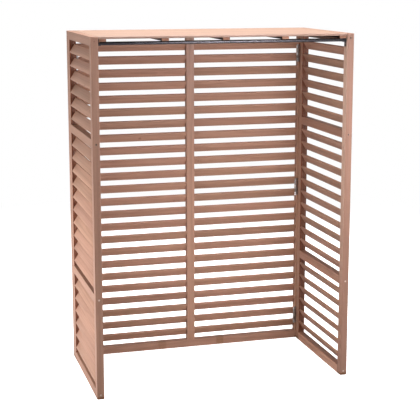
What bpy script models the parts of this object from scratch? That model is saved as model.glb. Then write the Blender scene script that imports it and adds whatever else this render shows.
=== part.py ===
"""Louvred wooden screen for the outdoor unit of an air conditioner.

A wide louvred front panel carries two louvred side panels on butt hinges. A planked roof
lies between the side panels, on two bars that rest on small angles, and lifts straight off;
the sides then fold in over the front panel.

The origin is on the ground under the middle of the whole. +Z is up, the front panel is at +Y
and the open side, which stands against the wall, is at -Y. Metres.
"""

import math

import bmesh
import bpy
from mathutils import Matrix, Vector

# Whole screen
HEIGHT = 1.200
WIDTH = 0.894
DEPTH = 0.480

# Frames of the three panels
PANEL_THICKNESS = 0.024
FRAME_WIDTH = 0.029
GROOVE_DEPTH = 0.006
TONGUE_WIDTH = 0.010

# Louvres
SLAT_ROWS = 24
SLAT_MARGIN = 0.06065  # from the top and the bottom edge to the middle of the nearest row
SLAT_THICKNESS = 0.007
SLAT_ANGLE = math.radians(58)  # from level, outer edge low
SLAT_REVEAL = 0.0001  # how far a slat's edges stay behind the panel's faces
SLAT_STUB_WIDTH = 0.0064  # of the stub on each end of a slat, which reaches into the groove
SLAT_STUB_THICKNESS = 0.0056
SLAT_STUB_LENGTH = 0.004
MID_RAIL_ROWS = (7, 18)  # rows of the side panels that hold a rail in place of a slat

# Roof
PLANK_COUNT = 7
PLANK_THICKNESS = 0.007
PLANK_GAP = 0.006
BATTEN_COUNT = 5
BATTEN_WIDTH = 0.024
BATTEN_HEIGHT = 0.0085
BATTEN_SETBACK = 0.002  # batten ends behind the planks' outer edges
BAR_WIDTH = 0.020
BAR_HEIGHT = 0.0105
BAR_SETBACK = 0.003  # bars behind the planks' outer edges
ROOF_CLEARANCE = 0.001  # planks to the panels around them

# Angles that carry the bars
ANGLE_THICKNESS = 0.0015
ANGLE_LEDGE = 0.010
ANGLE_WIDTH = 0.013
ANGLE_DROP = 0.017  # from the ledge's top to the lower end of a near angle's leg
ANGLE_HEADROOM = 0.0005  # from a far angle's leg up to the planks
BAR_END_CLEARANCE = 0.0007

# Butt hinges at the two inner corners
HINGE_LENGTH = 0.064
HINGE_FROM_END = 0.093
HINGE_KNUCKLES = 5
LEAF_THICKNESS = 0.0012
LEAF_MARGIN = 0.002  # leaf edge to the panel's outer face
LEAF_GAP = 0.0006
KNUCKLE_RADIUS = 0.003
KNUCKLE_GAP = 0.0003
PIN_RADIUS = 0.0014
BARREL_CLEARANCE = 0.0005
BARREL_OVERHANG = 0.0095  # hinge axis inside the side panel's inner face
SCREW_HOLE_RADIUS = 0.0021
LEAF_SCREWS = 3
SCREW_MARGIN = 0.008
SCREW_STAGGER_SHARES = (0.35, 0.65)  # screws' places across the panel's thickness, by turns

# Fits
SEAT = 0.0003  # between two pieces that touch
OVERRUN = 0.001  # how far a cutter runs past what it cuts
ROUND_SIDES = 20
HOLE_SIDES = 12

# Places that several pieces share
inner_half = WIDTH / 2 - PANEL_THICKNESS
near_y = -DEPTH / 2
front_inner_y = DEPTH / 2 - PANEL_THICKNESS
side_end_y = front_inner_y - 2 * LEAF_THICKNESS - LEAF_GAP - 2 * SEAT
side_length = side_end_y - near_y
hinge_y = front_inner_y - SEAT - KNUCKLE_RADIUS
hinge_x = inner_half - BARREL_OVERHANG
row_pitch = (HEIGHT - 2 * SLAT_MARGIN) / (SLAT_ROWS - 1)
slat_width = (
    PANEL_THICKNESS - 2 * SLAT_REVEAL - SLAT_THICKNESS * math.sin(SLAT_ANGLE)
) / math.cos(SLAT_ANGLE)
strip_depth = GROOVE_DEPTH - SEAT
plank_bottom = HEIGHT - PLANK_THICKNESS
batten_top = plank_bottom - SEAT
batten_bottom = batten_top - BATTEN_HEIGHT
bar_top = batten_bottom - SEAT
bar_bottom = bar_top - BAR_HEIGHT
ledge_top = bar_bottom - SEAT
bar_half = inner_half - SEAT - ANGLE_THICKNESS - BAR_END_CLEARANCE
roof_near_y = near_y
roof_far_y = front_inner_y - ROOF_CLEARANCE

for old in list(bpy.data.objects):
    bpy.data.objects.remove(old, do_unlink=True)

parts = bpy.data.collections.new("Air conditioner screen")
tools = bpy.data.collections.new("Cutters")
bpy.context.scene.collection.children.link(parts)
bpy.context.scene.collection.children.link(tools)


def finish(name, colour, roughness, metallic):
    made = bpy.data.materials.new(name)
    made.use_nodes = True
    shader = made.node_tree.nodes["Principled BSDF"]
    shader.inputs["Base Color"].default_value = (*colour, 1.0)
    shader.inputs["Roughness"].default_value = roughness
    shader.inputs["Metallic"].default_value = metallic
    made.diffuse_color = (*colour, 1.0)
    return made


stained_wood = finish("Stained wood", (0.36, 0.19, 0.12), 0.6, 0)
slat_wood = finish("Stained slat wood", (0.40, 0.21, 0.13), 0.6, 0)
roof_wood = finish("Stained roof wood", (0.56, 0.33, 0.22), 0.6, 0)
grey_steel = finish("Grey steel", (0.27, 0.26, 0.30), 0.4, 1)
zinc = finish("Zinc plate", (0.66, 0.66, 0.64), 0.35, 1)


def axis_empty(name, location):
    """A marker on a joint's axis, which carries the pieces that move about it."""
    made = bpy.data.objects.new(name, None)
    made.location = location
    parts.objects.link(made)
    return made


def placed(name, shape, place, material, carrier=None):
    """Closes a shape into an object at its place, which may hang on a joint's marker."""
    mesh = bpy.data.meshes.new(name)
    shape.to_mesh(mesh)
    shape.free()
    made = bpy.data.objects.new(name, mesh)
    if material is None:
        tools.objects.link(made)
        made.hide_render = True
        made.display_type = "WIRE"
    else:
        parts.objects.link(made)
        mesh.materials.append(material)
    if carrier is None:
        made.matrix_world = place
    else:
        made.parent = carrier
        made.matrix_basis = Matrix.Translation(-carrier.location) @ place
    return made


def add_box(shape, low, high, turn=Matrix()):
    """Adds a box between two corners to a shape, turned about its own middle."""
    low = Vector(low)
    high = Vector(high)
    place = Matrix.Translation((low + high) / 2)
    size = Matrix.Diagonal((*(high - low), 1))
    bmesh.ops.create_cube(shape, size=1, matrix=place @ turn @ size)


def boxes(name, frame, corners, material, carrier=None):
    """One object of one or more boxes, each given by two corners in the frame's directions."""
    middle = (Vector(corners[0][0]) + Vector(corners[0][1])) / 2
    shape = bmesh.new()
    for low, high in corners:
        add_box(shape, Vector(low) - middle, Vector(high) - middle)
    return placed(name, shape, frame @ Matrix.Translation(middle), material, carrier)


def add_cylinder(shape, radius, low, high, sides, turn=Matrix(), at=Vector()):
    """Adds an upright cylinder to a shape, turned and moved as a whole."""
    place = Matrix.Translation(at) @ turn @ Matrix.Translation((0, 0, (low + high) / 2))
    bmesh.ops.create_cone(
        shape,
        cap_ends=True,
        segments=sides,
        radius1=radius,
        radius2=radius,
        depth=high - low,
        matrix=place,
    )


def combine(target, tool, operation, whole=False):
    """Joins or cuts two solids; whole also settles the target's own overlapping boxes."""
    step = target.modifiers.new(operation.title(), "BOOLEAN")
    step.operation = operation
    step.object = tool
    step.solver = "EXACT"
    step.use_self = whole


def row_height(row):
    """Height of a row's middle; row 1 is the highest."""
    return HEIGHT - SLAT_MARGIN - (row - 1) * row_pitch


def stile(name, frame, start, bottom, top, grooves, carrier=None):
    """An upright of a panel, with a groove in each edge that faces a bay."""
    end = start + FRAME_WIDTH
    made = boxes(
        name,
        frame,
        [((start, 0, bottom), (end, PANEL_THICKNESS, top))],
        stained_wood,
        carrier,
    )
    middle = PANEL_THICKNESS / 2
    half = TONGUE_WIDTH / 2 + SEAT
    cuts = {
        "start": (start - OVERRUN, start + GROOVE_DEPTH),
        "end": (end - GROOVE_DEPTH, end + OVERRUN),
    }
    for edge in grooves:
        left, right = cuts[edge]
        groove = boxes(
            f"{name}_{edge}_groove",
            frame,
            [((left, middle - half, bottom - OVERRUN), (right, middle + half, top + OVERRUN))],
            None,
            carrier,
        )
        combine(made, groove, "DIFFERENCE")
    return made


def rail(name, frame, left, right, centre, carrier=None):
    """A cross piece between two stiles, with a tongue that fills their grooves at each end."""
    low = centre - FRAME_WIDTH / 2
    high = centre + FRAME_WIDTH / 2
    middle = PANEL_THICKNESS / 2
    made = boxes(
        name,
        frame,
        [((left + SEAT, 0, low), (right - SEAT, PANEL_THICKNESS, high))],
        stained_wood,
        carrier,
    )
    tongue = boxes(
        f"{name}_tongue",
        frame,
        [
            (
                (left - strip_depth, middle - TONGUE_WIDTH / 2, low),
                (right + strip_depth, middle + TONGUE_WIDTH / 2, high),
            )
        ],
        None,
        carrier,
    )
    combine(made, tongue, "UNION")
    return made


def slat_bank(name, frame, left, right, rows, low, high, carrier=None):
    """The slats of one bay. Strips in the stiles' grooves hold their ends and make them one piece."""
    middle = Vector(((left + right) / 2, PANEL_THICKNESS / 2, (low + high) / 2))
    tilt = Matrix.Rotation(-SLAT_ANGLE, 4, "X")
    slat_half = (right - left) / 2 - SEAT
    stub_half = (right - left) / 2 + SLAT_STUB_LENGTH
    shape = bmesh.new()
    slat = Vector((slat_half, slat_width / 2, SLAT_THICKNESS / 2))
    stub = Vector((stub_half, SLAT_STUB_WIDTH / 2, SLAT_STUB_THICKNESS / 2))
    for row in rows:
        at = Vector((0, 0, row_height(row) - middle.z))
        for reach in (slat, stub):
            add_box(shape, at - reach, at + reach, tilt)
    made = placed(name, shape, frame @ Matrix.Translation(middle), slat_wood, carrier)
    strips = boxes(
        f"{name}_strips",
        frame,
        [
            (
                (start, middle.y - TONGUE_WIDTH / 2, low + SEAT),
                (start + strip_depth, middle.y + TONGUE_WIDTH / 2, high - SEAT),
            )
            for start in (left - strip_depth, right)
        ],
        None,
        carrier,
    )
    combine(made, strips, "UNION", whole=True)
    return made


def front_panel():
    """The wide panel: two bays of slats on each side of a centre stile."""
    frame = Matrix.Translation((-WIDTH / 2, front_inner_y, 0))
    left = FRAME_WIDTH
    right = WIDTH - FRAME_WIDTH
    centre = WIDTH / 2 - FRAME_WIDTH / 2
    rail_top = FRAME_WIDTH
    rail_bottom = HEIGHT - FRAME_WIDTH
    stile("front_left_stile", frame, 0, 0, HEIGHT, ["end"])
    stile("front_right_stile", frame, right, 0, HEIGHT, ["start"])
    stile(
        "front_centre_stile",
        frame,
        centre,
        rail_top + SEAT,
        rail_bottom - SEAT,
        ["start", "end"],
    )
    rail("front_top_rail", frame, left, right, HEIGHT - FRAME_WIDTH / 2)
    rail("front_bottom_rail", frame, left, right, FRAME_WIDTH / 2)
    rows = range(1, SLAT_ROWS + 1)
    slat_bank("front_left_slats", frame, left, centre, rows, rail_top, rail_bottom)
    slat_bank("front_right_slats", frame, centre + FRAME_WIDTH, right, rows, rail_top, rail_bottom)


def side_panel(side, frame, ends, carrier):
    """A side panel, with two rails among its slats. Its frame starts at the end named first."""
    left = FRAME_WIDTH
    right = side_length - FRAME_WIDTH
    stile(f"{side}_{ends[0]}_stile", frame, 0, 0, HEIGHT, ["end"], carrier)
    stile(f"{side}_{ends[1]}_stile", frame, right, 0, HEIGHT, ["start"], carrier)
    upper = row_height(MID_RAIL_ROWS[0])
    lower = row_height(MID_RAIL_ROWS[1])
    half = FRAME_WIDTH / 2
    rail(f"{side}_top_rail", frame, left, right, HEIGHT - half, carrier)
    rail(f"{side}_upper_mid_rail", frame, left, right, upper, carrier)
    rail(f"{side}_lower_mid_rail", frame, left, right, lower, carrier)
    rail(f"{side}_bottom_rail", frame, left, right, half, carrier)
    first, second = MID_RAIL_ROWS
    banks = (
        ("upper", range(1, first), upper + half, HEIGHT - FRAME_WIDTH),
        ("middle", range(first + 1, second), lower + half, upper - half),
        ("lower", range(second + 1, SLAT_ROWS + 1), FRAME_WIDTH, lower - half),
    )
    for bank, rows, low, high in banks:
        slat_bank(f"{side}_{bank}_slats", frame, left, right, rows, low, high, carrier)


def roof(carrier):
    """Seven planks on five battens, which two bars tie together at the near and the far edge."""
    frame = Matrix()
    half = inner_half - ROOF_CLEARANCE
    planked = roof_far_y - roof_near_y
    plank_width = (planked - (PLANK_COUNT - 1) * PLANK_GAP) / PLANK_COUNT
    for i in range(PLANK_COUNT):
        start = roof_near_y + i * (plank_width + PLANK_GAP)
        boxes(
            f"roof_plank_{i + 1}",
            frame,
            [((-half, start, plank_bottom), (half, start + plank_width, HEIGHT))],
            roof_wood,
            carrier,
        )
    spacing = (2 * bar_half - BATTEN_WIDTH) / (BATTEN_COUNT - 1)
    for i in range(BATTEN_COUNT):
        start = -bar_half + i * spacing
        boxes(
            f"roof_batten_{i + 1}",
            frame,
            [
                (
                    (start, roof_near_y + BATTEN_SETBACK, batten_bottom),
                    (start + BATTEN_WIDTH, roof_far_y - BATTEN_SETBACK, batten_top),
                )
            ],
            stained_wood,
            carrier,
        )
    for place, start in bar_starts().items():
        boxes(
            f"{place}_roof_bar",
            frame,
            [((-bar_half, start, bar_bottom), (bar_half, start + BAR_WIDTH, bar_top))],
            grey_steel,
            carrier,
        )


def bar_starts():
    """Where each bar begins along Y."""
    return {
        "near": roof_near_y + BAR_SETBACK,
        "far": side_end_y - BAR_SETBACK - BAR_WIDTH,
    }


def support_angle(name, side, place, carrier):
    """A bent plate screwed to a side panel, with a ledge under a bar's inner edge.

    The near one's leg hangs down below the bar, the far one's goes up beside the roof.
    """
    if place == "near":
        start = bar_starts()[place] + BAR_WIDTH - ANGLE_WIDTH
        leg_bottom, leg_top = ledge_top - ANGLE_DROP, ledge_top
    else:
        start = bar_starts()[place]
        leg_bottom, leg_top = ledge_top - ANGLE_THICKNESS, plank_bottom - ANGLE_HEADROOM
    wall = side * (inner_half - SEAT)
    leg = side * (inner_half - SEAT - ANGLE_THICKNESS)
    tip = side * (inner_half - SEAT - ANGLE_LEDGE)
    bottom = ledge_top - ANGLE_THICKNESS
    made = boxes(
        name,
        Matrix(),
        [((min(wall, tip), start, bottom), (max(wall, tip), start + ANGLE_WIDTH, ledge_top))],
        zinc,
        carrier,
    )
    upright = boxes(
        f"{name}_leg",
        Matrix(),
        [((min(wall, leg), start, leg_bottom), (max(wall, leg), start + ANGLE_WIDTH, leg_top))],
        None,
        carrier,
    )
    combine(made, upright, "UNION")


def screw_heights():
    """Heights of a leaf's screws above the hinge's middle."""
    reach = HINGE_LENGTH / 2 - SCREW_MARGIN
    return [reach * (2 * i / (LEAF_SCREWS - 1) - 1) for i in range(LEAF_SCREWS)]


def hinge_leaf(name, side, height, leaf, carrier):
    """One leaf of a butt hinge, with its knuckles; the front leaf also carries the pin."""
    knuckles = range(0 if leaf == "front" else 1, HINGE_KNUCKLES, 2)
    pitch = HINGE_LENGTH / HINGE_KNUCKLES
    # across the gap between the panels, from the axis: the front leaf lies on the front panel,
    # the side leaf on the side panel's end
    if leaf == "front":
        back = front_inner_y - SEAT - hinge_y
        low, high = back - LEAF_THICKNESS, back
    else:
        back = side_end_y + SEAT - hinge_y
        low, high = back, back + LEAF_THICKNESS
    edge = KNUCKLE_RADIUS + BARREL_CLEARANCE
    end = BARREL_OVERHANG + PANEL_THICKNESS - LEAF_MARGIN
    place = Matrix.Translation((side * hinge_x, hinge_y, height))

    def across(start, stop, bottom, top):
        """Corners of a box from start to stop outwards, as thick as the leaf."""
        first, last = sorted((side * start, side * stop))
        return (first, low, bottom), (last, high, top)

    shape = bmesh.new()
    half = HINGE_LENGTH / 2
    add_box(shape, *across(edge, end, -half, half))
    made = placed(name, shape, place, zinc, carrier)

    barrel = bmesh.new()
    for i in knuckles:
        bottom = -half + i * pitch + KNUCKLE_GAP / 2
        top = bottom + pitch - KNUCKLE_GAP
        add_cylinder(barrel, KNUCKLE_RADIUS, bottom, top, ROUND_SIDES)
        add_box(barrel, *across(0, edge + OVERRUN, bottom, top))
    if leaf == "front":
        add_cylinder(barrel, PIN_RADIUS, -half + KNUCKLE_GAP, half - KNUCKLE_GAP, HOLE_SIDES)
    joined = placed(f"{name}_barrel", barrel, place, None, carrier)
    combine(made, joined, "UNION", whole=True)

    holes = bmesh.new()
    lying = Matrix.Rotation(math.radians(90), 4, "X")
    reach = HINGE_LENGTH
    for i, up in enumerate(screw_heights()):
        share = SCREW_STAGGER_SHARES[i % len(SCREW_STAGGER_SHARES)]
        out = side * (BARREL_OVERHANG + PANEL_THICKNESS * share)
        at = Vector((out, 0, up))
        add_cylinder(holes, SCREW_HOLE_RADIUS, -reach, reach, HOLE_SIDES, lying, at)
    if leaf == "side":
        bore = PIN_RADIUS + KNUCKLE_GAP
        add_cylinder(holes, bore, -half - OVERRUN, half + OVERRUN, HOLE_SIDES)
    drilled = placed(f"{name}_holes", holes, place, None, carrier)
    combine(made, drilled, "DIFFERENCE")


def main():
    left_axis = axis_empty("left_fold_axis", (-hinge_x, hinge_y, 0))
    right_axis = axis_empty("right_fold_axis", (hinge_x, hinge_y, 0))
    roof_axis = axis_empty("roof_lift_axis", (0, 0, HEIGHT))
    bpy.context.view_layer.update()

    front_panel()
    along_left = Matrix.Translation((-inner_half, near_y, 0)) @ Matrix.Rotation(
        math.radians(90), 4, "Z"
    )
    along_right = Matrix.Translation((inner_half, side_end_y, 0)) @ Matrix.Rotation(
        math.radians(-90), 4, "Z"
    )
    side_panel("left", along_left, ("wall", "hinge"), left_axis)
    side_panel("right", along_right, ("hinge", "wall"), right_axis)
    roof(roof_axis)

    heights = {
        "upper": HEIGHT - HINGE_FROM_END,
        "middle": HEIGHT / 2,
        "lower": HINGE_FROM_END,
    }
    for name, side, carrier in (("left", -1, left_axis), ("right", 1, right_axis)):
        for place in bar_starts():
            support_angle(f"{name}_{place}_support_angle", side, place, carrier)
        for place, height in heights.items():
            hinge_leaf(f"{name}_{place}_hinge_front_leaf", side, height, "front", None)
            hinge_leaf(f"{name}_{place}_hinge_side_leaf", side, height, "side", carrier)


main()
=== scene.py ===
"""The looks of a louvred wooden screen for an air conditioner's outdoor unit.

Every slat, infill strip, plug and screw of the screen is a piece of its own here. The frame
members, planks, battens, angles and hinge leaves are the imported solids, with softened edges and
the same finishes. Metres, +Z up, the open side at -Y.
"""

import math
import random

import bmesh
import bpy
from mathutils import Matrix, Vector


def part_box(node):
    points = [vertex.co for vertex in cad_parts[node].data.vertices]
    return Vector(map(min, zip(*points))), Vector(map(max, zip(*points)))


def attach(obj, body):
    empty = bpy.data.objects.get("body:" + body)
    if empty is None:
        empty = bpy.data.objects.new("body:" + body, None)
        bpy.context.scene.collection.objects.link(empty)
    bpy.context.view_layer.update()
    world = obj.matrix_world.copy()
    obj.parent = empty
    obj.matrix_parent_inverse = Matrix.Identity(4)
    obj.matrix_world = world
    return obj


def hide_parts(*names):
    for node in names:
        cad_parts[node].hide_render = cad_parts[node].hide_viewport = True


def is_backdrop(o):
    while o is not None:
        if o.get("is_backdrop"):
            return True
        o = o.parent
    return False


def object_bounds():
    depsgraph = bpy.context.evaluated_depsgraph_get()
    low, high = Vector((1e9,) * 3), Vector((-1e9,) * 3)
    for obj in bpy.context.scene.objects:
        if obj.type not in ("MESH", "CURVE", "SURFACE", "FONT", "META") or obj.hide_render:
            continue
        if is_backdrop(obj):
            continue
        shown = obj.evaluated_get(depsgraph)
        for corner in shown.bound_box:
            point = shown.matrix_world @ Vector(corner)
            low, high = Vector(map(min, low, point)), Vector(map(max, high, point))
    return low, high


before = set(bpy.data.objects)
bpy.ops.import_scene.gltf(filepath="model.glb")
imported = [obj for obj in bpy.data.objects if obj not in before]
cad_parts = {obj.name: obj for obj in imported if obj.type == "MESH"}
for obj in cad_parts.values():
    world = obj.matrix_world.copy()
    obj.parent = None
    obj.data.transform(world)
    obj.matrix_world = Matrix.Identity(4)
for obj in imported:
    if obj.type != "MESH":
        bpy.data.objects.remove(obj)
cad_low, cad_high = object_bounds()

# Louvres, as the solids have them
SLAT_ROWS = 24
SLAT_MARGIN = 0.06065
SLAT_THICKNESS = 0.007
SLAT_ANGLE = math.radians(58)
SLAT_REVEAL = 0.0001
MID_RAIL_ROWS = (7, 18)
PANEL_THICKNESS = 0.024
STRIP_WIDTH = 0.010
STRIP_DEPTH = 0.0057
SEAT = 0.0003
LEAF_THICKNESS = 0.0012
ANGLE_THICKNESS = 0.0015
BATTENS = 5
PLANKS = 7

# Softened edges
SLAT_EDGE = 0.0013
STRIP_EDGE = 0.0004
FRAME_EDGE = 0.0009
PLANK_EDGE = 0.0016
METAL_EDGE = 0.0003
SHARP_ANGLE = math.radians(35)
WELD_DISTANCE = 0.00001

# Wooden plugs over the frame's screws, in bores of their own
PLUG_RADIUS = 0.0033
PLUG_CLEARANCE = 0.0002
PLUG_LENGTH = 0.006
PLUG_RECESS = 0.0002
MIDDLE_PLUG_RECESS = 0.0008
DEEP_PLUG_RECESS = 0.0012
PLUG_EDGE = 0.0003
BORE_SIDES = 24
ROUND_SIDES = 20

# Screws: radius of the head, length, and how far the head stands out of its place
HINGE_SCREW = (0.00195, 0.009, -0.0001)
ANGLE_SCREW = (0.0022, 0.009, 0.00015)
BAR_SCREW = (0.0028, 0.012, 0.00015)
BATTEN_SCREW = (0.0026, 0.011, 0.0001)

# A screw's tip, and then its outline as shares of the head's radius: how wide and how deep
TIP_SHARES = (0.22, 0.8)
SCREW_OUTLINE_SHARES = ((0.45, 1.4), (0.45, 0.85), (0.96, 0.20), (1.0, 0.08), (0.80, 0.0))
CROSS_SHARES = ((1.15, 0.24, 0.9), (0.24, 1.15, 0.9))

# Where the screws sit
SCREW_MARGIN = 0.008
SCREW_STAGGER_SHARES = (0.35, 0.65)
ANGLE_SCREW_SHARES = (0.25, 0.75)
ANGLE_SCREW_HEIGHT_SHARE = 0.55
BATTEN_SCREW_SHIFT = 0.012

# Steel tubes under the battens
TUBE_WALL = 0.0012
TUBE_CORNER = 0.0018
TUBE_CORNER_STEPS = 4

# Camera
CAMERA_PLACE = (-1.086, -3.814, 1.381)
CAMERA_TURN = math.radians(16.07)
CAMERA_TILT = math.radians(-10.66)
CAMERA_LENS = 97.8
CAMERA_SHIFT = -0.04
SENSOR_WIDTH = 36

# Studio: where each soft box stands, what it aims at, its size, its power, its spread in degrees
# and whether the metal and the varnish mirror it
LIGHTS = {
    "overhead": ((0.0, 0.3, 3.4), (0, 0, 1.2), 2.0, 124, 180, True),
    "overhead near": ((-0.2, -1.6, 2.6), (0.1, 0.1, 0.6), 0.8, 14.8, 180, False),
    "overhead far": ((0.2, 1.8, 2.4), (0, 0, 1.1), 0.8, 1.9, 180, False),
    "right high": ((1.0, -1.6, 2.0), (0.35, 0, 0.8), 0.6, 1.7, 180, False),
    "left low": ((-2.6, 0.45, 0.25), (-0.447, 0, 0.4), 0.8, 29.5, 180, True),
    "left beam": ((-2.4, -0.2, 0.45), (-0.447, 0, 0.42), 0.5, 1.2, 35, True),
    "left side": ((-2.2, 0.2, 0.95), (-0.447, 0, 0.1), 0.4, 1.0, 45, True),
    "left high": ((-2.3, -0.1, 0.7), (-0.447, 0, 1.1), 0.4, 0.75, 45, True),
    "right near": ((0.5, -1.5, 1.15), (0.35, 0, 0.85), 0.5, 4.8, 120, False),
    "inner fill": ((0.1, -0.9, 0.9), (0.2, 0.216, 0.85), 0.35, 0.6, 90, False),
    "floor fill": ((-0.1, -0.7, 0.3), (0.1, 0.2, 0.12), 0.35, 0.8, 100, False),
    "back": ((-0.25, 2.3, 0.9), (0.42, -0.2, 0.9), 0.5, 5, 180, False),
    "bar": ((1.15, -3.9, 0.97), (0.1, -0.237, 1.179), 0.5, 10, 180, True),
}
COOL_LIGHTS = {"left low": (1.0, 1.06, 1.15), "right near": (1.0, 1.04, 1.18)}
# how strongly the room glows from each direction
WALL_GLOW = {(0, 1, 0): 0.35, (1, 0, 0): 0.28, (-1, 0, 0): 0.06}

# Floor: its size, its own colour and what the camera sees of it, how much it glows, and between
# which distances it passes into plain white
FLOOR_RADIUS = 60
FLOOR_SIDES = 96
FLOOR_COLOUR = (0.50, 0.49, 0.48, 1.0)
FLOOR_SEEN = (0.98, 0.98, 0.98, 1.0)
FLOOR_LIFT = 0.95
FLOOR_GLOW = 0.28
FLOOR_ENDS = (1.6, 3.2)

UP = Vector((0, 0, 1))
DOWN = Vector((0, 0, -1))
OUTWARD = {
    "front_panel": Vector((0, 1, 0)),
    "left_panel": Vector((-1, 0, 0)),
    "right_panel": Vector((1, 0, 0)),
}

pitch = (cad_high.z - cad_low.z - 2 * SLAT_MARGIN) / (SLAT_ROWS - 1)
slat_width = (
    PANEL_THICKNESS - 2 * SLAT_REVEAL - SLAT_THICKNESS * math.sin(SLAT_ANGLE)
) / math.cos(SLAT_ANGLE)
chance = random.Random(24)


# Shader nodes


def add(tree, kind, values=(), **settings):
    """Adds a shader node. A value is a socket to link from, or the input's own value."""
    made = tree.nodes.new("ShaderNode" + kind)
    for name, setting in settings.items():
        setattr(made, name, setting)
    pairs = values.items() if isinstance(values, dict) else enumerate(values)
    for key, value in pairs:
        if isinstance(value, bpy.types.NodeSocket):
            tree.links.new(value, made.inputs[key])
        elif value is not None:
            made.inputs[key].default_value = value
    return made


def sum_of(tree, operation, first, second=None, third=None, clamp=False):
    made = add(tree, "Math", (first, second, third), operation=operation, use_clamp=clamp)
    return made.outputs[0]


def ramp(tree, value, low, high, to_low=0.0, to_high=1.0):
    """A smooth step of a value from low to high."""
    values = (value, low, high, to_low, to_high)
    made = add(tree, "MapRange", values, interpolation_type="SMOOTHSTEP")
    return made.outputs[0]


def blend_colours(tree, share, first, second, kind="MIX"):
    values = {0: share, 6: first, 7: second}
    made = add(tree, "Mix", values, data_type="RGBA", blend_type=kind)
    return made.outputs[2]


def noise(tree, vector, scale, detail=2.0, roughness=0.5):
    values = {"Vector": vector, "Scale": scale, "Detail": detail, "Roughness": roughness}
    return add(tree, "TexNoise", values).outputs["Fac"]


def vector_sum(tree, operation, first, second):
    return add(tree, "VectorMath", (first, second), operation=operation).outputs[0]


def stretched(tree, vector, along, across):
    """The vector with its first direction scaled by one number and the others by another."""
    return vector_sum(tree, "MULTIPLY", vector, (along, across, across))


def turned_towards(tree, vector, direction):
    """How far a vector looks one way, from -1 to 1."""
    made = add(tree, "VectorMath", (vector, direction), operation="DOT_PRODUCT")
    return made.outputs["Value"]


def length_of(tree, vector):
    return add(tree, "VectorMath", (vector,), operation="LENGTH").outputs["Value"]


def new_group(title, inputs, outputs):
    """An empty shader group. Inputs and outputs map a name to its kind or its starting value."""
    tree = bpy.data.node_groups.new(title, "ShaderNodeTree")
    kinds = {"value": "NodeSocketFloat", "colour": "NodeSocketColor", "vector": "NodeSocketVector"}
    for name, start in inputs.items():
        kind = start if isinstance(start, str) else "value"
        socket = tree.interface.new_socket(name, in_out="INPUT", socket_type=kinds[kind])
        if kind != start:
            socket.default_value = start
    for name, kind in outputs.items():
        tree.interface.new_socket(name, in_out="OUTPUT", socket_type=kinds[kind])
    return tree, tree.nodes.new("NodeGroupInput").outputs, tree.nodes.new("NodeGroupOutput")


def close_group(tree, out, **results):
    for name, socket in results.items():
        tree.links.new(socket, out.inputs[name.replace("_", " ").capitalize()])
    return tree


def use(tree, group, **values):
    """Places a group in a tree, with its inputs by name."""
    made = tree.nodes.new("ShaderNodeGroup")
    made.node_tree = group
    for name, value in values.items():
        socket = made.inputs[name.replace("_", " ").capitalize()]
        if isinstance(value, bpy.types.NodeSocket):
            tree.links.new(value, socket)
        else:
            socket.default_value = value
    return made.outputs


# The figure of a board. Scales are given along the board and across it, the rest in metres
BOARD_SHIFTS = (37.0, 11.0, 23.0)
WANDER_SCALES = (0.9, 0.0)
WANDER_ACROSS = 0.040
WANDER_DEEP = 0.014
HEART_SPREAD = 0.050
HEART_DEPTH = 0.018
RIPPLE_SCALES = (5.0, 60.0)
RIPPLE_HEIGHT = 0.0022
RING_SPACING = 0.0045
RING_SHARPNESS = 3.0
RING_END_SHARES = (1.0, 0.93)
KNOT_RADIUS = 0.007
KNOT_SPACING = 0.13
KNOT_HEART_SHARE = 0.35
KNOT_BEND = 0.012
KNOT_BEND_FALL = -0.7
STREAK_SCALES = (2.2, 95.0)
FIBRE_SCALES = (26.0, 1500.0)
FIGURE_ROUGHNESS = 0.6


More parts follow.
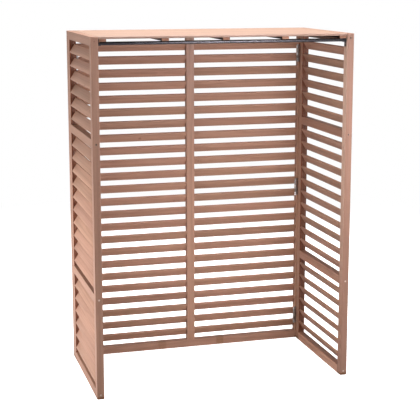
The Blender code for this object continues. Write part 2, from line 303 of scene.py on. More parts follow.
def wood_figure():
    """Growth rings, fibres and knots of a board whose length runs along the first direction."""
    tree, given, out = new_group(
        "Wood figure",
        {
            "Vector": "vector",
            "Board": "value",
            "Ring spacing": RING_SPACING,
            "Knot radius": KNOT_RADIUS,
            "Knot spacing": KNOT_SPACING,
        },
        {"Rings": "value", "Streaks": "value", "Fibres": "value", "Knots": "value"},
    )
    # each board is cut from another place of the log
    shifts = [sum_of(tree, "MULTIPLY", given["Board"], shift) for shift in BOARD_SHIFTS]
    shift = add(tree, "CombineXYZ", shifts).outputs[0]
    place = vector_sum(tree, "ADD", given["Vector"], shift)
    # the heart of the log lies beside the board and wanders along it
    wander = noise(tree, stretched(tree, place, *WANDER_SCALES), 1.0, 1.0)
    split = add(tree, "SeparateXYZ", (given["Vector"],)).outputs
    heart = sum_of(tree, "MULTIPLY_ADD", given["Board"], HEART_SPREAD, -HEART_SPREAD / 2)
    across = sum_of(tree, "ADD", split[1], heart)
    across = sum_of(tree, "MULTIPLY_ADD", wander, WANDER_ACROSS, across)
    deep = sum_of(tree, "ADD", split[2], HEART_DEPTH)
    deep = sum_of(tree, "MULTIPLY_ADD", wander, WANDER_DEEP, deep)
    radius = length_of(tree, add(tree, "CombineXYZ", (0.0, across, deep)).outputs[0])
    ripple = noise(tree, stretched(tree, place, *RIPPLE_SCALES), 1.0)
    radius = sum_of(tree, "MULTIPLY_ADD", ripple, RIPPLE_HEIGHT, radius)
    # knots bend the rings round them
    cells = {"Vector": place, "Scale": sum_of(tree, "DIVIDE", 1.0, given["Knot spacing"])}
    near = add(tree, "TexVoronoi", cells).outputs["Distance"]
    near = sum_of(tree, "MULTIPLY", near, given["Knot spacing"])
    bend = sum_of(tree, "DIVIDE", near, given["Knot radius"])
    bend = sum_of(tree, "EXPONENT", sum_of(tree, "MULTIPLY", bend, KNOT_BEND_FALL))
    radius = sum_of(tree, "MULTIPLY_ADD", bend, KNOT_BEND, radius)
    # a ring darkens slowly and ends sharply
    turn = sum_of(tree, "FRACT", sum_of(tree, "DIVIDE", radius, given["Ring spacing"]))
    late = sum_of(tree, "POWER", turn, RING_SHARPNESS)
    rings = sum_of(tree, "MULTIPLY", late, ramp(tree, turn, *RING_END_SHARES))
    inner = sum_of(tree, "MULTIPLY", given["Knot radius"], KNOT_HEART_SHARE)
    knots = ramp(tree, near, given["Knot radius"], inner)
    streaks = noise(tree, stretched(tree, place, *STREAK_SCALES), 1.0, 3.0, FIGURE_ROUGHNESS)
    fibres = noise(tree, stretched(tree, place, *FIBRE_SCALES), 1.0, 2.0, FIGURE_ROUGHNESS)
    return close_group(tree, out, rings=rings, streaks=streaks, fibres=fibres, knots=knots)


# How much each part of the figure darkens the stain, and how boards differ
STREAK_SHARES = (0.30, 0.72)
STREAK_DEPTH = 0.34
RING_DEPTH = 0.34
FIBRE_DEPTH = 0.26
LEAST_DEPTH = 0.13
KNOT_DEPTH = 0.75
END_DEPTH = 0.45
TINT_TURNS = 7.31
TINT_DEPTH = 0.5
LIGHTNESS_TURNS = 3.77
LIGHTNESS_RANGE = (0.16, 0.92)
WOOD_ROUGHNESS = 0.46
FIBRE_ROUGHNESS = 0.16
END_ROUGHNESS = 0.12
RING_HEIGHT = -0.4


def stain():
    """The colour that a stain gives to a figured board, and how rough and how high it stands."""
    tree, given, out = new_group(
        "Stain",
        {
            "Light": "colour",
            "Dark": "colour",
            "Tint": "colour",
            "Board": "value",
            "Rings": "value",
            "Streaks": "value",
            "Fibres": "value",
            "Knots": "value",
            "End grain": "value",
        },
        {"Colour": "colour", "Roughness": "value", "Height": "value"},
    )
    streak = ramp(tree, given["Streaks"], *STREAK_SHARES)
    darkness = sum_of(tree, "MULTIPLY", streak, STREAK_DEPTH)
    darkness = sum_of(tree, "MULTIPLY_ADD", given["Rings"], RING_DEPTH, darkness)
    darkness = sum_of(tree, "MULTIPLY_ADD", given["Fibres"], FIBRE_DEPTH, darkness)
    darkness = sum_of(tree, "SUBTRACT", darkness, LEAST_DEPTH, clamp=True)
    colour = blend_colours(tree, darkness, given["Light"], given["Dark"])
    # boards differ: some redder, some more olive, some lighter
    turn = sum_of(tree, "FRACT", sum_of(tree, "MULTIPLY", given["Board"], TINT_TURNS))
    turn = sum_of(tree, "MULTIPLY", turn, TINT_DEPTH)
    colour = blend_colours(tree, turn, colour, given["Tint"], "MULTIPLY")
    turn = sum_of(tree, "FRACT", sum_of(tree, "MULTIPLY", given["Board"], LIGHTNESS_TURNS))
    lightness = sum_of(tree, "MULTIPLY_ADD", turn, *LIGHTNESS_RANGE)
    lighter = add(tree, "VectorMath", {0: colour, "Scale": lightness}, operation="SCALE")
    colour = lighter.outputs[0]
    # knots and end grain drink more stain
    knot = sum_of(tree, "MULTIPLY", given["Knots"], KNOT_DEPTH)
    colour = blend_colours(tree, knot, colour, given["Dark"])
    end = sum_of(tree, "MULTIPLY", given["End grain"], END_DEPTH)
    colour = blend_colours(tree, end, colour, given["Dark"])
    roughness = sum_of(tree, "MULTIPLY_ADD", given["Fibres"], FIBRE_ROUGHNESS, WOOD_ROUGHNESS)
    roughness = sum_of(tree, "MULTIPLY_ADD", given["End grain"], END_ROUGHNESS, roughness)
    height = sum_of(tree, "MULTIPLY_ADD", given["Rings"], RING_HEIGHT, given["Fibres"])
    return close_group(tree, out, colour=colour, roughness=roughness, height=height)


# Edge marks, scuffs on the frame and painted shade on the slats: how wide they are, how sharp an
# edge shows them, and how broken they are
EDGE_WIDTH = 0.0012
EDGE_SHARES = (0.995, 0.86)
EDGE_BREAKUP_SCALE = 60.0
EDGE_BREAKUP_SHARES = (0.35, 0.68)


def edge_wear_and_shade_mask():
    """How far a point lies on an edge, broken up along it."""
    inputs = {"Vector": "vector", "Width": EDGE_WIDTH, "Amount": 1.0}
    tree, given, out = new_group("Edge wear and shade", inputs, {"Mask": "value"})
    rounded = add(tree, "Bevel", {"Radius": given["Width"]}, samples=4).outputs[0]
    flat = add(tree, "NewGeometry").outputs["Normal"]
    edge = ramp(tree, turned_towards(tree, rounded, flat), *EDGE_SHARES)
    edge_wear_and_shade = ramp(tree, noise(tree, given["Vector"], EDGE_BREAKUP_SCALE, 3.0), *EDGE_BREAKUP_SHARES)
    mask = sum_of(tree, "MULTIPLY", sum_of(tree, "MULTIPLY", edge, edge_wear_and_shade), given["Amount"])
    return close_group(tree, out, mask=mask)


figure_group = wood_figure()
stain_group = stain()
edge_group = edge_wear_and_shade_mask()


# Wood

# The stain on each kind of board: its colour on light wood and on dark wood
FRAME_STAIN = ((0.48, 0.252, 0.172, 1.0), (0.275, 0.118, 0.072, 1.0))
SLAT_STAIN = ((0.53, 0.285, 0.198, 1.0), (0.295, 0.134, 0.084, 1.0))
# strips darkened with painted shade, for the deep shade in the grooves between the slats' ends
SHADED_STRIP_STAIN = ((0.26, 0.10, 0.055, 1.0), (0.15, 0.048, 0.025, 1.0))
ROOF_STAIN = ((0.50, 0.302, 0.222, 1.0), (0.31, 0.160, 0.108, 1.0))
# pale plugs: lighter end grain with a painted highlight
HIGHLIGHTED_PLUG_STAIN = ((0.95, 0.78, 0.68, 1.0), (0.72, 0.52, 0.42, 1.0))
# dark plugs: painted shade in a deep bore
SHADED_PLUG_STAIN = ((0.20, 0.115, 0.07, 1.0), (0.10, 0.05, 0.035, 1.0))
OLIVE_TINT = (0.90, 0.98, 0.88, 1.0)

# What shows at an edge: bare wood where the frame is scuffed, painted shade along the slats
BARE_WOOD = (0.66, 0.46, 0.33, 1.0)
# painted shade along the slats' edges
SHADED_SLAT_EDGE = (0.25, 0.155, 0.12, 1.0)

# Painted shade and painted light on single faces, which the stain's colour is multiplied by
# painted shade in the grooves beside the slats' ends
GROOVE_SHADE = (0.54, 0.34, 0.235, 1.0)
# painted deep shade under the roof
UNDER_ROOF_SHADE = (0.13, 0.10, 0.08, 1.0)
# painted deep shade on the battens' sides
BATTEN_SIDE_SHADE = (0.05, 0.04, 0.035, 1.0)
# painted sheen: inner faces made paler, as if lit at a grazing angle
PAINTED_SHEEN = (1.85, 2.4, 2.7, 1.0)
# painted light for a face that the lamps leave darker
PAINTED_LIGHT = (1.5, 1.62, 1.62, 1.0)
# darker patches on the front bottom rail, and painted shade at the posts' feet
PATCH_AND_FOOT_SHADE = (0.74, 0.66, 0.52, 1.0)

AXES = {"x": (0, 1, 2), "y": (1, 0, 2), "z": (2, 0, 1)}
PLUG_RING_SPACING = 0.002
FRAME_WEAR = 0.35
# how much painted shade lies along the slats' edges
SLAT_EDGE_SHADE = 0.7
END_GRAIN_SHARES = (0.7, 0.95)
FACING_SHARES = (0.75, 0.95)
GRAIN_STRENGTH = 0.35
GRAIN_HEIGHT = 0.0003

# Varnish: its weight and roughness, and the shine of the wood below it
VARNISH = 0.3
VARNISH_ROUGHNESS = 0.32
SHINE = 0.5
DULL_SHINE = 0.15

# Darker patches, and painted shade at the posts' feet: where they end and begin to fade from their
# middle, and how ragged they are
PATCH_REACH = (0.021, 0.015)
PATCH_RAGGEDNESS = 0.008
# a post's foot is darker, its stain and a painted shade, laid on twice from just under it
FOOT_STAIN_AND_SHADE = ((-0.006, 1.0), (-0.007, 1.0))
RAIL_PATCHES = ((-0.113, 0.55), (0.114, 0.9))
# heights between which the painted sheen on the wall-side stiles' inner faces comes in, paler
# towards the top
SHEEN_HEIGHTS = (0.1, 0.8)

finishes = {}


def new_material(name):
    made = bpy.data.materials.new(name)
    made.use_nodes = True
    return made, made.node_tree, made.node_tree.nodes["Principled BSDF"]


def patches_of(name, along):
    """The darker patches of a finish, and the painted shade at a post's foot: their middles along
    the board, and how deep they are.
    """
    if name == "Patched frame":
        return RAIL_PATCHES
    upright = along == "z" and not name.endswith("plug")
    return FOOT_STAIN_AND_SHADE if upright else ()


def stained_wood(
    name,
    along,
    colours,
    ring=RING_SPACING,
    wear_and_shade_amount=FRAME_WEAR,
    edge_wear_and_shade=BARE_WOOD,
    toned=None,
    looks=(),
    fade=None,
    varnish=VARNISH,
    shine=SHINE,
):
    """Stained softwood whose grain runs along one of the object's own directions.

    Faces that look one way can take a painted tone: painted shade in the grooves and under the
    roof, painted sheen and painted light on other faces. A fade gives the places along the board
    between which the tone comes in.
    """
    made, tree, shader = new_material(f"{name} along {along}")
    light, dark = colours
    own = add(tree, "TexCoord").outputs
    order = AXES[along]
    split = add(tree, "SeparateXYZ", (own["Object"],)).outputs
    vector = add(tree, "CombineXYZ", [split[i] for i in order]).outputs[0]
    facing = add(tree, "SeparateXYZ", (own["Normal"],)).outputs[order[0]]
    end = ramp(tree, sum_of(tree, "ABSOLUTE", facing), *END_GRAIN_SHARES)
    board = add(tree, "Attribute", attribute_type="OBJECT", attribute_name="board").outputs["Fac"]
    grain = use(tree, figure_group, vector=vector, board=board, ring_spacing=ring)
    stained = use(
        tree,
        stain_group,
        light=light,
        dark=dark,
        tint=OLIVE_TINT,
        board=board,
        rings=grain["Rings"],
        streaks=grain["Streaks"],
        fibres=grain["Fibres"],
        knots=grain["Knots"],
        end_grain=end,
    )
    # the edges: bare wood on the frame's scuffs, painted shade along the slats
    wear_and_shade = use(tree, edge_group, vector=own["Object"], amount=wear_and_shade_amount)
    colour = blend_colours(tree, wear_and_shade["Mask"], stained["Colour"], edge_wear_and_shade)
    # darker patches, and painted shade at a post's foot
    for middle, depth in patches_of(name, along):
        away = sum_of(tree, "ABSOLUTE", sum_of(tree, "SUBTRACT", split[order[0]], middle))
        away = sum_of(tree, "MULTIPLY_ADD", grain["Streaks"], PATCH_RAGGEDNESS, away)
        share = ramp(tree, away, *PATCH_REACH, 0.0, depth)
        colour = blend_colours(tree, share, colour, PATCH_AND_FOOT_SHADE, "MULTIPLY")
    # painted shade and painted light on the faces that look one way
    for look in looks:
        share = ramp(tree, turned_towards(tree, own["Normal"], look), *FACING_SHARES)
        if fade:
            share = sum_of(tree, "MULTIPLY", share, ramp(tree, split[order[0]], *fade))
        colour = blend_colours(tree, share, colour, toned, "MULTIPLY")
    relief = {"Strength": GRAIN_STRENGTH, "Distance": GRAIN_HEIGHT, "Height": stained["Height"]}
    bump = add(tree, "Bump", relief)
    tree.links.new(colour, shader.inputs["Base Color"])
    tree.links.new(stained["Roughness"], shader.inputs["Roughness"])
    tree.links.new(bump.outputs[0], shader.inputs["Normal"])
    shader.inputs["Specular IOR Level"].default_value = shine
    shader.inputs["Coat Weight"].default_value = varnish
    shader.inputs["Coat Roughness"].default_value = VARNISH_ROUGHNESS
    finishes[name, along] = made


# Frame members with painted shade and painted light on some faces: the grain's direction, and which
# faces take it
PAINTED_TONES = {
    # painted shade on the hinge stiles' faces between the slats' ends
    "hinge_stile": ("z", {"toned": GROOVE_SHADE, "looks": [(0, -1, 0)]}),
    # painted sheen on the wall stiles' inner faces, paler towards the top
    "left_wall_stile": ("z", {"toned": PAINTED_SHEEN, "looks": [(1, 0, 0)], "fade": SHEEN_HEIGHTS}),
    "right_wall_stile": ("z", {"toned": PAINTED_SHEEN, "looks": [(-1, 0, 0)], "fade": SHEEN_HEIGHTS}),
    # painted shade on the top rails' inner faces under the roof
    "left_top_rail": ("y", {"toned": UNDER_ROOF_SHADE, "looks": [(1, 0, 0)]}),
    "right_top_rail": ("y", {"toned": UNDER_ROOF_SHADE, "looks": [(-1, 0, 0)]}),
    # painted light on the right bottom rail's inner face
    "right_bottom_rail": ("y", {"toned": PAINTED_LIGHT, "looks": [(-1, 0, 0)]}),
    # painted shade on both sides of the battens under the roof
    "roof_batten": (
        "y",
        {
            "toned": BATTEN_SIDE_SHADE,
            "looks": [(-1, 0, 0), (1, 0, 0)],
            "varnish": 0.0,
            "shine": DULL_SHINE,
        },
    ),
}
for direction in AXES:
    stained_wood("Stained frame", direction, FRAME_STAIN)
for member, (direction, settings) in PAINTED_TONES.items():
    stained_wood(f"Toned {member}", direction, FRAME_STAIN, **settings)
stained_wood("Patched frame", "x", FRAME_STAIN)
# the slats' edges are darkened with painted shade
stained_wood("Stained slat", "x", SLAT_STAIN, wear_and_shade_amount=SLAT_EDGE_SHADE, edge_wear_and_shade=SHADED_SLAT_EDGE)
# the strips carry painted shade
stained_wood("Shaded strip", "x", SHADED_STRIP_STAIN)
stained_wood("Stained roof", "x", ROOF_STAIN)
stained_wood("Own plug", "z", FRAME_STAIN)
stained_wood("Highlighted plug", "z", HIGHLIGHTED_PLUG_STAIN, PLUG_RING_SPACING)
stained_wood("Shaded plug", "z", SHADED_PLUG_STAIN, PLUG_RING_SPACING)


# Metal

# Each metal's colour, the colour of its bloom, its roughness, how fine it is brushed in each
# direction and how metallic it is
METALS = {
    "Zinc plate": ((0.82, 0.81, 0.79, 1.0), (0.58, 0.57, 0.56, 1.0), 0.15, (400, 400, 30), 0.55),
    # zinc darkened with painted shade, for the dark seam beside each hinge
    "Shaded zinc": ((0.42, 0.40, 0.39, 1.0), (0.25, 0.24, 0.23, 1.0), 0.20, (400, 400, 30), 1.0),
    "Dark zinc": ((0.10, 0.095, 0.10, 1.0), (0.07, 0.065, 0.07, 1.0), 0.30, (300, 30, 300), 1.0),
    "Grey steel": ((0.125, 0.116, 0.13, 1.0), (0.09, 0.082, 0.094, 1.0), 0.12, (20, 900, 900), 1.0),
}
BLOOM_SCALE = 90.0
BLOOM_SHARES = (0.35, 0.7)
BLOOM_ROUGHNESS = 0.22
BRUSHED_STRENGTH = 0.2
BRUSHED_HEIGHT = 0.00008


def metal(name, colour, dull, roughness, brushed, metallic):
    """A metal with a dull bloom over it and fine lines along the piece."""
    made, tree, shader = new_material(name)
    own = add(tree, "TexCoord").outputs["Object"]
    cloud = noise(tree, own, BLOOM_SCALE, 4.0, 0.6)
    lines = noise(tree, vector_sum(tree, "MULTIPLY", own, brushed), 1.0)
    bloomed = blend_colours(tree, ramp(tree, cloud, *BLOOM_SHARES), colour, dull)
    tree.links.new(bloomed, shader.inputs["Base Color"])
    rough = sum_of(tree, "MULTIPLY_ADD", cloud, BLOOM_ROUGHNESS, roughness)
    tree.links.new(rough, shader.inputs["Roughness"])
    relief = {"Strength": BRUSHED_STRENGTH, "Distance": BRUSHED_HEIGHT, "Height": lines}
    tree.links.new(add(tree, "Bump", relief).outputs[0], shader.inputs["Normal"])
    shader.inputs["Metallic"].default_value = metallic
    return made


zinc, shaded_zinc, dark_zinc, bar_steel = [metal(name, *made_of) for name, made_of in METALS.items()]


# Shapes


def linked(name, mesh):
    """A new object of a mesh, in the scene."""
    made = bpy.data.objects.new(name, mesh)
    bpy.context.scene.collection.objects.link(made)
    return made


def mesh_of(name, shape):
    """The mesh of a shape, which ends the shape."""
    mesh = bpy.data.meshes.new(name)
    shape.to_mesh(mesh)
    shape.free()
    return mesh


def piece(name, shape, material, body, place):
    """Makes an object of a shape, sets it in place and lets it ride on a body."""
    mesh = mesh_of(name, shape)
    mesh.materials.append(material)
    made = linked(name, mesh)
    made.matrix_world = place
    mesh.shade_smooth()
    mesh.set_sharp_from_angle(angle=SHARP_ANGLE)
    made["board"] = chance.random()
    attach(made, body)
    return made


def rounded_board(length, width, thickness, edge, segments):
    """A board along X, with rounded edges and corners."""
    shape = bmesh.new()
    bmesh.ops.create_cube(shape, size=1, matrix=Matrix.Diagonal((length, width, thickness, 1)))
    bmesh.ops.bevel(
        shape, geom=shape.edges[:], offset=edge, segments=segments, profile=0.5, affect="EDGES"
    )
    return shape


def turned_to(x, y, z, at):
    """The place whose own directions are x, y and z."""
    return Matrix.Translation(at) @ Matrix((x, y, z)).transposed().to_4x4()


def facing_place(at, out):
    """The place whose Z looks out of a face."""
    side = UP.cross(out) if abs(out.z) < 0.5 else Vector((1, 0, 0))
    return turned_to(side.normalized(), out.cross(side).normalized(), out, at)


def middle_of(name):
    low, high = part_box(name)
    return (low + high) / 2


# Slats and the strips that hold their ends

banks = {
    "front_left_slats": ("front_panel", range(1, SLAT_ROWS + 1)),
    "front_right_slats": ("front_panel", range(1, SLAT_ROWS + 1)),
}
for side in ("left", "right"):
    upper, lower = MID_RAIL_ROWS
    banks[f"{side}_upper_slats"] = (f"{side}_panel", range(1, upper))
    banks[f"{side}_middle_slats"] = (f"{side}_panel", range(upper + 1, lower))
    banks[f"{side}_lower_slats"] = (f"{side}_panel", range(lower + 1, SLAT_ROWS + 1))


def row_height(row):
    return cad_high.z - SLAT_MARGIN - (row - 1) * pitch


def bank_of_slats(node, body, rows):
    """The slats of one bay, each a piece of its own, and the two strips at their ends."""
    low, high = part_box(node)
    out = OUTWARD[body]
    along = out.cross(UP)
    middle = (low + high) / 2
    span = abs((high - low).dot(along)) - 2 * STRIP_DEPTH
    down = out * math.cos(SLAT_ANGLE) - UP * math.sin(SLAT_ANGLE)
    face = out * math.sin(SLAT_ANGLE) + UP * math.cos(SLAT_ANGLE)
    for row in rows:
        at = Vector((middle.x, middle.y, row_height(row)))
        shape = rounded_board(span - 2 * SEAT, slat_width, SLAT_THICKNESS, SLAT_EDGE, 3)
        name = f"{node.removesuffix('s')}_{row:02d}"
        place = turned_to(along, down, face, at)
        piece(name, shape, finishes["Stained slat", "x"], body, place)
    for end, way in (("first", -1), ("last", 1)):
        at = middle + along * way * (span + STRIP_DEPTH) / 2
        shape = rounded_board(high.z - low.z, STRIP_WIDTH, STRIP_DEPTH, STRIP_EDGE, 1)
        place = turned_to(UP, out, UP.cross(out), at)
        name = f"{node.removesuffix('_slats')}_{end}_strip"
        piece(name, shape, finishes["Shaded strip", "x"], body, place)
    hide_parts(node)


for node, (body, rows) in banks.items():
    bank_of_slats(node, body, rows)


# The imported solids


def soften(node, edge):
    """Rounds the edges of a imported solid."""
    weld = node.modifiers.new("Weld", "WELD")
    weld.merge_threshold = WELD_DISTANCE
    bevel = node.modifiers.new("Softened edges", "BEVEL")
    bevel.width = edge
    bevel.segments = 2
    bevel.limit_method = "ANGLE"
    bevel.angle_limit = SHARP_ANGLE
    bevel.harden_normals = False


def dressing(name):
    """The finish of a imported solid, how much its edges are softened, and its slot."""
    if "hinge_front_leaf" in name:
        return zinc, METAL_EDGE, "zinc"
    # the side leaves are darkened with painted shade, for the seam beside the hinge
    if "hinge_side_leaf" in name:
        return shaded_zinc, METAL_EDGE, "zinc"
    if "support_angle" in name:
        return dark_zinc, METAL_EDGE, "zinc"
    if name.startswith("roof_plank"):
        return finishes["Stained roof", "x"], PLANK_EDGE, "roof_wood"
    if name == "front_bottom_rail":
        return finishes["Patched frame", "x"], FRAME_EDGE, "frame_wood"
    for member, (direction, _) in PAINTED_TONES.items():
        if member in name:
            return finishes[f"Toned {member}", direction], FRAME_EDGE, "frame_wood"
    direction = "y"
    if name.endswith("stile"):
        direction = "z"
    elif name.startswith("front"):
        direction = "x"
    return finishes["Stained frame", direction], FRAME_EDGE, "frame_wood"


def dress(name):
    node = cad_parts[name]
    material, edge, slot = dressing(name)
    node.data.materials.clear()
    node.data.materials.append(material)
    node["board"] = chance.random()
    soften(node, edge)


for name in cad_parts:
    if name not in banks and not name.endswith("roof_bar"):
        dress(name)


# Wooden plugs

# a deeply recessed plug takes painted shade, a shallow one a painted highlight
PLUG_FINISHES = {
    DEEP_PLUG_RECESS: "Shaded plug",
    PLUG_RECESS: "Highlighted plug",
    MIDDLE_PLUG_RECESS: "Own plug",
}
SIDE_RAILS = ("top", "upper_mid", "lower_mid", "bottom")
FRONT_RAILS = ("top", "bottom")


def round_shape(profile):
    """A shape turned about Z from radii and heights; the first and last points lie on the axis."""
    shape = bmesh.new()
    turns = [2 * math.pi * i / ROUND_SIDES for i in range(ROUND_SIDES)]
    rings = []
    for radius, height in profile:
        if radius:
            spots = [(radius * math.cos(turn), radius * math.sin(turn), height) for turn in turns]
        else:
            spots = [(0, 0, height)]
        rings.append([shape.verts.new(spot) for spot in spots])
    for low, high in zip(rings, rings[1:]):
        for i in range(ROUND_SIDES):
            after = (i + 1) % ROUND_SIDES
            lower = [low[i % len(low)], low[after % len(low)]]
            upper = [high[after % len(high)], high[i % len(high)]]
            shape.faces.new(list(dict.fromkeys(lower + upper)))
    bmesh.ops.recalc_face_normals(shape, faces=shape.faces[:])
    return shape


def bore(name, places):
    """Drills a solid at some places with a cutter that moves with it."""
    shape = bmesh.new()
    for place in places:
        bmesh.ops.create_cone(
            shape,
            cap_ends=True,
            segments=BORE_SIDES,
            radius1=PLUG_RADIUS + PLUG_CLEARANCE,
            radius2=PLUG_RADIUS + PLUG_CLEARANCE,
            depth=2 * (PLUG_LENGTH + DEEP_PLUG_RECESS),
            matrix=place,
        )
    cutter = linked(f"{name} bores", mesh_of(f"{name} bores", shape))
    cutter.hide_render = True
    cutter.display_type = "WIRE"
    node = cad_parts[name]
    cutter.parent = node
    drill = node.modifiers.new("Bores", "BOOLEAN")
    drill.operation = "DIFFERENCE"
    drill.object = cutter
    drill.solver = "EXACT"


def plugs(name, body, spots, out):
    """Bores a solid and sets a plug in each bore. A spot is a point on the face and a recess."""
    bore(name, [facing_place(at, out) for at, _ in spots])
    profile = [
        (0, -PLUG_LENGTH),
        (PLUG_RADIUS, -PLUG_LENGTH),
        (PLUG_RADIUS, -PLUG_EDGE),
        (PLUG_RADIUS - PLUG_EDGE, 0),
        (0, 0),
    ]
    for i, (at, recess) in enumerate(spots, 1):
        finish = finishes[PLUG_FINISHES[recess], "z"]
        place = facing_place(at - out * recess, out)
        piece(f"{name}_plug_{i}", round_shape(profile), finish, body, place)


for side, way in (("left", -1), ("right", 1)):
    heights = [middle_of(f"{side}_{rail}_rail").z for rail in SIDE_RAILS]
    top = MIDDLE_PLUG_RECESS if way < 0 else DEEP_PLUG_RECESS
    recesses = (top, DEEP_PLUG_RECESS, PLUG_RECESS, PLUG_RECESS)
    for end, out in (("wall", Vector((0, -1, 0))), ("hinge", Vector((0, 1, 0)))):
        low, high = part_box(f"{side}_{end}_stile")
        x = (low.x + high.x) / 2
        y = low.y if out.y < 0 else high.y
        spots = [(Vector((x, y, z)), recess) for z, recess in zip(heights, recesses)]
        plugs(f"{side}_{end}_stile", f"{side}_panel", spots, out)
    low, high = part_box(f"front_{side}_stile")
    x = low.x if way < 0 else high.x
    y = (low.y + high.y) / 2
    heights = [middle_of(f"front_{rail}_rail").z for rail in FRONT_RAILS]
    spots = [(Vector((x, y, z)), PLUG_RECESS) for z in heights]
    plugs(f"front_{side}_stile", "front_panel", spots, Vector((way, 0, 0)))
for rail, way in (("top", 1), ("bottom", -1)):
    low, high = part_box(f"front_{rail}_rail")
    at = Vector((0, (low.y + high.y) / 2, high.z if way > 0 else low.z))
    plugs(f"front_{rail}_rail", "front_panel", [(at, PLUG_RECESS)], Vector((0, 0, way)))


# Screws


def screw_mesh(radius, length):
    """A countersunk screw with a cross in its head, which lies at Z 0 and looks up."""
    tip_width, tip_height = TIP_SHARES
    outline = [(wide * radius, -deep * radius) for wide, deep in SCREW_OUTLINE_SHARES]
    tip = [(0, -length), (radius * tip_width, -length + radius * tip_height)]
    blank = linked("screw blank", mesh_of("screw blank", round_shape([*tip, *outline, (0, 0)])))
    cross = bmesh.new()
    for shares in CROSS_SHARES:
        scale = Matrix.Diagonal((*(radius * share for share in shares), 1))
        bmesh.ops.create_cube(cross, size=1, matrix=scale)
    recess = linked("screw cross", mesh_of("screw cross", cross))
    cut = blank.modifiers.new("Cross", "BOOLEAN")
    cut.operation = "DIFFERENCE"
    cut.object = recess
    cut.solver = "EXACT"
    cut.use_self = True
    bpy.context.view_layer.update()
    whole = bpy.context.evaluated_depsgraph_get()
    finished = bpy.data.meshes.new_from_object(blank.evaluated_get(whole))
    for made in (blank, recess):
        bpy.data.objects.remove(made)
    return finished


screw_meshes = {}


def screw(name, kind, at, out, body):
    """Sets a screw of a kind in place, its head looking out."""
    radius, length, proud = kind
    if kind not in screw_meshes:
        screw_meshes[kind] = screw_mesh(radius, length)
    shape = bmesh.new()
    shape.from_mesh(screw_meshes[kind])
    turn = Matrix.Rotation(chance.random() * math.pi, 4, "Z")
    piece(name, shape, zinc, body, facing_place(at + out * proud, out) @ turn)


def hinge_screws(side, way, height):
    """Three screws in each leaf of a hinge. Their heads look into the gap between the panels."""
    inner = middle_of(f"{side}_top_rail").x - way * PANEL_THICKNESS / 2
    front_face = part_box("front_left_stile")[0].y - LEAF_THICKNESS
    side_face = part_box(f"{side}_hinge_stile")[1].y + LEAF_THICKNESS
    for leaf, body, out, face in (
        ("front", "front_panel", Vector((0, -1, 0)), front_face),
        ("side", f"{side}_panel", Vector((0, 1, 0)), side_face),
    ):
        name = f"{side}_{height}_hinge_{leaf}_leaf"
        low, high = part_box(name)
        reach = (high.z - low.z) / 2 - SCREW_MARGIN
        for i in range(3):
            x = inner + way * PANEL_THICKNESS * SCREW_STAGGER_SHARES[i % 2]
            at = Vector((x, face, (low.z + high.z) / 2 + (i - 1) * reach))
            screw(f"{name}_screw_{i + 1}", HINGE_SCREW, at, out, body)


def angle_screws(side, way, end):
    """Two screws through a support angle into the side panel."""
    name = f"{side}_{end}_support_angle"
    low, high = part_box(name)
    x = high.x - ANGLE_THICKNESS if way > 0 else low.x + ANGLE_THICKNESS
    z = low.z + (high.z - low.z) * ANGLE_SCREW_HEIGHT_SHARE
    for i, share in enumerate(ANGLE_SCREW_SHARES, 1):
        at = Vector((x, low.y + (high.y - low.y) * share, z))
        screw(f"{name}_screw_{i}", ANGLE_SCREW, at, Vector((-way, 0, 0)), f"{side}_panel")


for side, way in (("left", -1), ("right", 1)):
    for height in ("upper", "middle", "lower"):
        hinge_screws(side, way, height)
    for end in ("near", "far"):
        angle_screws(side, way, end)


# Roof: bars of steel tube, and the screws that hold the roof together


def steel_tube(length, width, height):
    """A tube along X with round corners and open ends."""
    shape = bmesh.new()
    loops = []
    for inset, radius in ((0, TUBE_CORNER), (TUBE_WALL, TUBE_CORNER - TUBE_WALL)):
        y = width / 2 - inset - radius
        z = height / 2 - inset - radius
        loop = []
        for i, (side, top) in enumerate(((1, 1), (-1, 1), (-1, -1), (1, -1))):
            for step in range(TUBE_CORNER_STEPS + 1):
                turn = math.pi / 2 * (i + step / TUBE_CORNER_STEPS)
                loop.append((side * y + radius * math.cos(turn), top * z + radius * math.sin(turn)))
        loops.append(loop)
    rings = [
        [shape.verts.new((end * length / 2, *spot)) for spot in loop]
        for end in (-1, 1)
        for loop in loops
    ]
    outer_low, inner_low, outer_high, inner_high = rings
    count = len(outer_low)
    for first, second in (
        (outer_low, outer_high),
        (inner_high, inner_low),
        (inner_low, outer_low),
        (outer_high, inner_high),
    ):
        for i in range(count):
            after = (i + 1) % count
            shape.faces.new((first[i], first[after], second[after], second[i]))
    bmesh.ops.recalc_face_normals(shape, faces=shape.faces[:])
    return shape


battens = [f"roof_batten_{i}" for i in range(1, BATTENS + 1)]
for end in ("near", "far"):
    name = f"{end}_roof_bar"
    low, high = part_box(name)
    place = Matrix.Translation((low + high) / 2)
    tube = steel_tube(high.x - low.x, high.y - low.y, high.z - low.z)
    made = piece(f"{name}_tube", tube, bar_steel, "roof", place)
    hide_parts(name)
    for i, batten in enumerate(battens, 1):
        at = Vector((middle_of(batten).x, (low.y + high.y) / 2, low.z))
        screw(f"{name}_screw_{i}", BAR_SCREW, at, DOWN, "roof")
# the screws of the outer planks sit beside the bars
shifts = {1: BATTEN_SCREW_SHIFT, PLANKS: -BATTEN_SCREW_SHIFT}
for batten in battens:
    low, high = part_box(batten)
    for i in range(1, PLANKS + 1):
        y = middle_of(f"roof_plank_{i}").y + shifts.get(i, 0)
        at = Vector(((low.x + high.x) / 2, y, low.z))
        screw(f"{batten}_screw_{i}", BATTEN_SCREW, at, DOWN, "roof")


# Floor, light and camera


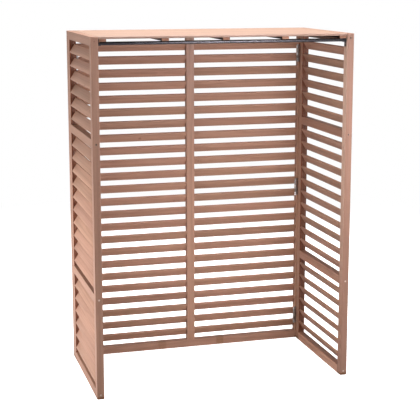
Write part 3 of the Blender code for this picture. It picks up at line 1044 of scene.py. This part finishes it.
def make_floor():
    shape = bmesh.new()
    bmesh.ops.create_circle(shape, cap_ends=True, segments=FLOOR_SIDES, radius=FLOOR_RADIUS)
    floor = linked("floor", mesh_of("floor", shape))
    made, tree, shader = new_material("Pale floor")
    tree.nodes.remove(shader)
    out = tree.nodes["Material Output"]
    place = add(tree, "TexCoord").outputs["Object"]
    seen = add(tree, "LightPath").outputs["Is Camera Ray"]
    pale = blend_colours(tree, seen, FLOOR_COLOUR, FLOOR_SEEN)
    lift = sum_of(tree, "MULTIPLY", seen, FLOOR_LIFT)
    lift = add(tree, "Emission", {"Strength": lift}).outputs[0]
    near = add(tree, "BsdfDiffuse", {"Color": pale}).outputs[0]
    near = add(tree, "AddShader", (near, lift)).outputs[0]
    glow = add(tree, "Mix", {0: seen, 2: FLOOR_GLOW, 3: 1.0}).outputs[0]
    far = add(tree, "Emission", {"Strength": glow}).outputs[0]
    share = ramp(tree, length_of(tree, place), *FLOOR_ENDS)
    both = add(tree, "MixShader", (share, near, far)).outputs[0]
    tree.links.new(both, out.inputs["Surface"])
    floor.data.materials.append(made)
    floor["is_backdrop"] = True


def make_world():
    world = bpy.data.worlds.new("Studio")
    bpy.context.scene.world = world
    world.use_nodes = True
    tree = world.node_tree
    shell = tree.nodes["Background"]
    seen = add(tree, "LightPath").outputs["Is Camera Ray"]
    way = add(tree, "TexCoord").outputs["Generated"]
    glow = 0.0
    for facing, share in WALL_GLOW.items():
        turned = sum_of(tree, "MAXIMUM", turned_towards(tree, way, facing), 0.0)
        lobe = sum_of(tree, "MULTIPLY", sum_of(tree, "POWER", turned, 2.0), share)
        glow = sum_of(tree, "ADD", lobe, glow)
    strength = add(tree, "Mix", {0: seen, 2: glow, 3: 1.0}).outputs[0]
    tree.links.new(strength, shell.inputs["Strength"])
    shell.inputs["Color"].default_value = (1.0, 1.0, 1.0, 1.0)


def soft_light(name, at, aim, size, power, spread, mirrored):
    """A round soft box, which its baffles narrow to a spread in degrees."""
    data = bpy.data.lights.new(name, "AREA")
    data.shape = "DISK"
    data.size = size
    data.energy = power
    data.spread = math.radians(spread)
    data.color = COOL_LIGHTS.get(name, (1, 1, 1))
    made = linked(name, data)
    made.location = at
    made.rotation_euler = (Vector(aim) - Vector(at)).to_track_quat("-Z", "Y").to_euler()
    made.visible_camera = False
    made.visible_glossy = mirrored


def make_camera():
    data = bpy.data.cameras.new("camera")
    data.lens = CAMERA_LENS
    data.sensor_width = SENSOR_WIDTH
    data.shift_y = CAMERA_SHIFT
    made = linked("camera", data)
    made.location = CAMERA_PLACE
    made.rotation_euler = (math.pi / 2 + CAMERA_TILT, 0, -CAMERA_TURN)
    bpy.context.scene.camera = made


make_floor()
make_world()
for name, settings in LIGHTS.items():
    soft_light(name, *settings)
make_camera()
bpy.context.scene.view_settings.view_transform = "Standard"

low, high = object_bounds()
